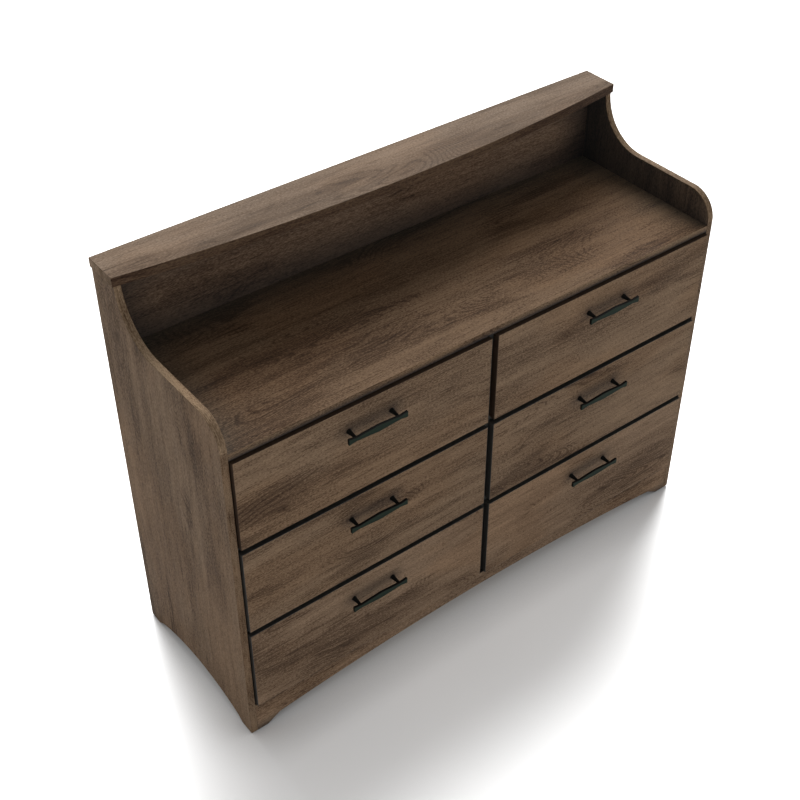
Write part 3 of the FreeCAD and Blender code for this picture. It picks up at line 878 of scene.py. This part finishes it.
@dataclass
class PullDressing:
    """Black bar pull: a flat-faced bar, full in the middle and flared at its ends, on two tapered posts.

    Attributes:
        finishes: The dresser's finishes.
        middle_height: Height of the bar in the middle.
        neck_height: Height of the bar at the posts.
        end_height: Height of the bar at its ends.
        bar_depth: Depth of the bar.
        face_edge: Radius of the edges round its front face.
        back_edge: Radius of its back edges.
        post_centres: Distance between the posts.
        post_tip: Radius of a post at the bar.
        post_base: Radius of a post on the drawer front.
        post_power: Power of the way to the foot by which a post widens.
        post_sunk: Depth by which a post reaches into the bar.
        bar_places: Places along the bar between its rounded ends, both counted.
        post_rings: Rings of points along a post.
        post_sides: Points in a ring.
    """

    finishes: Finishes
    middle_height: float = 15 * MM
    neck_height: float = 8 * MM
    end_height: float = 14 * MM
    bar_depth: float = 6 * MM
    face_edge: float = 0.8 * MM
    back_edge: float = 1.6 * MM
    post_centres: float = 96 * MM
    post_tip: float = 3.0 * MM
    post_base: float = 5.2 * MM
    post_power: float = 1.5
    post_sunk: float = 0.5 * MM
    bar_places: int = 61
    post_rings: int = 14
    post_sides: int = 28

    def height_at(self, place: np.ndarray, end: float) -> np.ndarray:
        """Height of the bar along its length: straight tapers, softened where they meet.

        Args:
            place: Distances from the middle.
            end: Distance of the bar's ends.

        Returns:
            The height at each place.
        """
        neck, soft = self.post_centres / 2, 1.5 * MM
        inner = (self.middle_height - self.neck_height) / neck
        outer = (self.end_height - self.neck_height) / (end - neck)
        distance = np.sqrt(place ** 2 + soft ** 2) - soft
        past = distance - neck
        bend = 0.5 * (past + np.sqrt(past ** 2 + soft ** 2))
        return self.middle_height - inner * distance + (inner + outer) * bend

    def bar(self, name: str, x_span: tuple[float, float], front: float, level: float) -> bpy.types.Object:
        """Bar as a rounded-rectangle section carried along x.

        At each end the section is drawn in through a quarter circle: at an angle t the ring lies the edge radius
        times (1 - sin t) from the end and is drawn in by the radius times (1 - cos t).

        Args:
            name: Name of the piece.
            x_span: Its two ends.
            front: Place of its front face.
            level: Height of its centre line.

        Returns:
            The object.
        """
        middle, end = sum(x_span) / 2, (x_span[1] - x_span[0]) / 2
        tilt = np.radians(np.linspace(90.0, 0.0, ROUND_POINTS))
        step = self.face_edge * (1 - np.sin(tilt))
        inner = np.linspace(self.face_edge - end, end - self.face_edge, self.bar_places)[1:-1]
        place = np.concatenate([step - end, inner, end - step[::-1]])
        straight = np.zeros(len(inner))
        narrower = self.face_edge * (1 - np.cos(tilt))
        drawn_in = np.concatenate([narrower, straight, narrower[::-1]])
        lean = np.concatenate([-np.sin(tilt), straight, np.sin(tilt[::-1])])
        corner, turned = self.section()
        radius = np.where(corner[:, 0] > 0, self.back_edge, self.face_edge)
        centre = np.where(corner[:, 0] > 0, self.bar_depth - self.back_edge, self.face_edge)
        half = self.height_at(place, end)[:, None] / 2
        reach = radius[None] - drawn_in[:, None]
        rows, columns = len(place), len(corner)
        points = np.empty((rows, columns, 3))
        points[:, :, 0] = middle + place[:, None]
        points[:, :, 1] = front + centre[None] + reach * turned[None, :, 0]
        points[:, :, 2] = level + corner[None, :, 1] * (half - radius[None]) + reach * turned[None, :, 1]
        slope = np.gradient(half[:, 0], place)
        normals = np.empty((rows, columns, 3))
        normals[:, :, 0] = -slope[:, None] * np.abs(turned[None, :, 1])
        normals[:, :, 1:] = turned[None]
        normals *= np.sqrt(1 - lean ** 2)[:, None, None]
        normals[:, :, 0] += lean[:, None]
        normals /= np.linalg.norm(normals, axis=2, keepdims=True)
        plain = self.finishes.plain
        # The bar's front face takes the green-grey finish, a painted sheen.
        front_face = [0] * (columns - 1) + [1]
        return add_piece(name, points, normals, [plain["pull_black"], plain["pull_face_painted_sheen"]], front_face, clockwise=True)

    @staticmethod
    def section() -> tuple[np.ndarray, np.ndarray]:
        """Section of the bar: which corner each point belongs to and its direction from that corner's centre.

        The points run from the front face's top edge over the back to the front face's bottom edge, so that the
        step from the last one to the first one is the front face.

        Returns:
            Rows of (0 front or 1 back, -1 lower or 1 upper), and rows of unit directions in y and z.
        """
        steps = np.radians(np.linspace(0.0, 90.0, ROUND_POINTS))
        arcs = []
        for back, upper, first in ((0, 1, 180.0), (1, 1, 90.0), (1, -1, 0.0), (0, -1, -90.0)):
            angles = math.radians(first) - steps
            corner = np.broadcast_to([back, upper], (ROUND_POINTS, 2))
            arcs.append(np.column_stack([corner, np.cos(angles), np.sin(angles)]))
        table = np.concatenate(arcs)
        return table[:, :2], table[:, 2:]

    def post(self, name: str, x: float, level: float, bar_rear: float, face: float) -> bpy.types.Object:
        """Post as a surface of revolution about y, waisted towards the bar and flared at its foot.

        The radius is the tip's plus the difference to the base's times a power of the way to the foot.

        Args:
            name: Name of the piece.
            x: Place of its axis.
            level: Height of its axis.
            bar_rear: Where it meets the bar.
            face: Where it stands on the drawer front.

        Returns:
            The object.
        """
        way = np.linspace(0.0, 1.0, self.post_rings)
        radius = self.post_tip + (self.post_base - self.post_tip) * way ** self.post_power
        turn = np.radians(np.arange(self.post_sides) * 360.0 / self.post_sides)
        rows, columns = len(way), len(turn)
        points = np.empty((rows, columns, 3))
        points[:, :, 0] = x + radius[:, None] * np.sin(turn)[None]
        points[:, :, 1] = (bar_rear + (face - bar_rear) * way)[:, None]
        points[:, :, 2] = level + radius[:, None] * np.cos(turn)[None]
        lean = -np.gradient(radius, way * (face - bar_rear))
        normals = np.empty((rows, columns, 3))
        normals[:, :, 0] = np.sin(turn)[None]
        normals[:, :, 1] = lean[:, None]
        normals[:, :, 2] = np.cos(turn)[None]
        normals /= np.linalg.norm(normals, axis=2, keepdims=True)
        return add_piece(name, points, normals, [self.finishes.plain["pull_black"]], 0)

    def build(self, drawer: str) -> None:
        """Build the pull of one drawer.

        Args:
            drawer: Name of the drawer's body.
        """
        node = drawer + "_pull"
        x_span, (front, _), (low, high) = spans(node)
        face = spans(drawer + "_front")[1][0]
        level = (low + high) / 2
        middle = sum(x_span) / 2
        settle(self.bar(node + "_bar", x_span, front, level), drawer, node)
        for side, word in ((-1, "left"), (1, "right")):
            post = self.post(f"{node}_{word}_post", middle + side * self.post_centres / 2, level,
                             front + self.bar_depth - self.post_sunk, face)
            settle(post, drawer, node)


@dataclass
class DrawerDressing:
    """One drawer: a laminated front with black edges, its pull, and the box behind it.

    Attributes:
        name: Name of the drawer's body.
        finishes: The dresser's finishes.
        offset: Shift of the front's grain.
        arris: Radius of the front's arrises.
    """

    name: str
    finishes: Finishes
    offset: tuple[float, float, float]
    arris: float = 0.8 * MM

    def build(self) -> None:
        """Build and dress the drawer."""
        node = self.name + "_front"
        extent = spans(node)
        wood, plain = self.finishes, self.finishes.plain
        # The lowest two fronts take the paler copy of the laminate, painted light.
        laminate = wood.low_front if self.name.startswith("bottom") else wood.front_face
        # The top row's front edges are painted shade, the others black.
        edge = plain["painted_shade_edge" if self.name.startswith("top") else "black_edge"]
        face = laminate.material(node, Grain.ACROSS, self.offset)
        corners = rectangle(extent[2], extent[0], self.arris * CORNER_TO_ARRIS)
        piece = board(node + "_board", Lies.FACING_FRONT, corners, extent[1], self.arris, face, edge)
        settle(piece, self.name, node)
        PullDressing(self.finishes).build(self.name)
        walls = wood.drawer_board.material(self.name + "_walls", Grain.DEEP, self.offset)
        back = wood.drawer_board.material(self.name + "_back", Grain.ACROSS, self.offset)
        dress([self.name + "_left_side", self.name + "_right_side"], walls)
        dress([self.name + "_back"], back)
        dress([self.name + "_bottom"], plain["fibreboard"])
        dress([self.name + "_runners"], plain["zinc_steel"])


@dataclass(frozen=True)
class SoftLight:
    """Broad, distant light.

    Attributes:
        strength: Strength of the light.
        breadth: Angle that it covers, in degrees.
        bearing: Where it comes from, counted from the front towards the right, in degrees.
        height: Height above the floor in degrees.
    """

    strength: float
    breadth: float
    bearing: float
    height: float


@dataclass
class Studio:
    """Pale floor, soft light and the camera.

    Attributes:
        camera_place: Place of the camera in metres.
        camera_turn: Turn of the camera about x, y and z in degrees.
        lens: Focal length in millimetres on a sensor SENSOR_WIDTH wide.
        world_strength: Strength of the light from all round.
        key: Light from above and behind, which throws the shadow forward.
        fill: Weak light from the front.
        floor_greys: Darkest and palest grey of the floor.
        floor_roughness: Least and greatest roughness of the floor.
        floor_ior: Refractive index of the floor's gloss, which sets how much it mirrors.
        floor_glow: Strength of the floor's own light.
        floor_painted_shade_reach: Distance within which painted shade darkens the floor beside what stands on it, in
            metres.
        floor_painted_shade_power: Power that deepens that painted shade.
        floor_half: Half the side of the floor in metres.
    """

    camera_place: tuple[float, float, float] = (-1.36832, -1.67512, 2.23775)
    camera_turn: tuple[float, float, float] = (50.4455, 0.0227, -37.5872)
    lens: float = 60.065
    world_strength: float = 0.235
    key: SoftLight = SoftLight(3.65, 56.0, 147.0, 38.0)
    fill: SoftLight = SoftLight(0.3, 40.0, 12.0, 8.0)
    floor_greys: tuple[float, float] = (0.46, 0.48)
    floor_roughness: tuple[float, float] = (0.41, 0.43)
    floor_ior: float = 3.9
    floor_glow: float = 0.34
    floor_painted_shade_reach: float = 0.12
    floor_painted_shade_power: float = 1.2
    floor_half: float = 30.0

    def camera(self) -> None:
        """Place the camera."""
        data = bpy.data.cameras.new("photo_camera")
        data.lens = self.lens
        data.sensor_width = SENSOR_WIDTH
        data.sensor_fit = "HORIZONTAL"
        camera = bpy.data.objects.new("photo_camera", data)
        camera.location = self.camera_place
        camera.rotation_euler = [math.radians(angle) for angle in self.camera_turn]
        bpy.context.scene.collection.objects.link(camera)
        bpy.context.scene.camera = camera

    def world(self) -> None:
        """Even light from all round, plain white where the camera sees it."""
        world = bpy.data.worlds.new("studio")
        world.use_nodes = True
        tree = world.node_tree
        background = tree.nodes["Background"]
        background.inputs["Color"].default_value = (1.0, 1.0, 1.0, 1.0)
        rays = tree.nodes.new("ShaderNodeLightPath")
        seen = rays.outputs["Is Camera Ray"]
        for kind in ("Is Glossy Ray", "Is Transmission Ray"):
            either = tree.nodes.new("ShaderNodeMath")
            either.operation = "MAXIMUM"
            tree.links.new(seen, either.inputs[0])
            tree.links.new(rays.outputs[kind], either.inputs[1])
            seen = either.outputs[0]
        strength = tree.nodes.new("ShaderNodeMapRange")
        strength.inputs["To Min"].default_value = self.world_strength
        strength.inputs["To Max"].default_value = 1.0
        tree.links.new(seen, strength.inputs["Value"])
        tree.links.new(strength.outputs["Result"], background.inputs["Strength"])
        bpy.context.scene.world = world

    def soft_light(self, name: str, light: SoftLight) -> None:
        """Add a broad, distant light.

        Args:
            name: Name of the light.
            light: Its strength, breadth and direction.
        """
        data = bpy.data.lights.new(name, "SUN")
        data.energy = light.strength
        data.angle = math.radians(light.breadth)
        lamp = bpy.data.objects.new(name, data)
        lamp.rotation_euler = (math.radians(90.0 - light.height), 0.0, math.radians(light.bearing))
        bpy.context.scene.collection.objects.link(lamp)

    def floor(self) -> None:
        """Wide pale floor that keeps the dresser's shadow and a faint, blurred image of it."""
        sketch = NodeSketch("pale_floor")
        mottle = sketch.noise(sketch.placed((3.0, 3.0, 3.0), (0.0, 0.0, 0.0)))
        # Painted shade: ambient occlusion darkens the floor's colour and its glow beside the dresser.
        painted_floor_openness = sketch.openness(self.floor_painted_shade_reach, self.floor_painted_shade_power)
        darkest, palest = ((grey, grey, grey, 1.0) for grey in self.floor_greys)
        colour = sketch.blend(painted_floor_openness, (0.0, 0.0, 0.0, 1.0), sketch.blend(mottle, darkest, palest))
        sketch.finish(colour, sketch.between(mottle, 0.0, 1.0, *self.floor_roughness))
        glow = sketch.maths("MULTIPLY", painted_floor_openness, self.floor_glow)
        sketch.feed(sketch.shader, {"IOR": self.floor_ior, "Emission Color": (1.0, 1.0, 1.0, 1.0),
                                    "Emission Strength": glow})
        half = self.floor_half
        mesh = bpy.data.meshes.new("floor")
        corners = [(-half, -half, 0), (half, -half, 0), (half, half, 0), (-half, half, 0)]
        mesh.from_pydata(corners, [], [(0, 1, 2, 3)])
        mesh.materials.append(sketch.material)
        floor = bpy.data.objects.new("floor", mesh)
        bpy.context.scene.collection.objects.link(floor)

    def build(self) -> None:
        """Set up the studio."""
        bpy.context.scene.view_settings.view_transform = "Standard"
        self.camera()
        self.world()
        self.soft_light("key_light", self.key)
        self.soft_light("front_fill", self.fill)
        self.floor()


def main() -> None:
    """Build the studio, the case and the drawers."""
    logging.basicConfig(level=logging.INFO, format="%(message)s")
    Studio().build()
    finishes = Finishes()
    CaseDressing(finishes).build()
    for name, offset in DRAWERS.items():
        DrawerDressing(name, finishes, offset).build()


if __name__ == "__main__":
    main()
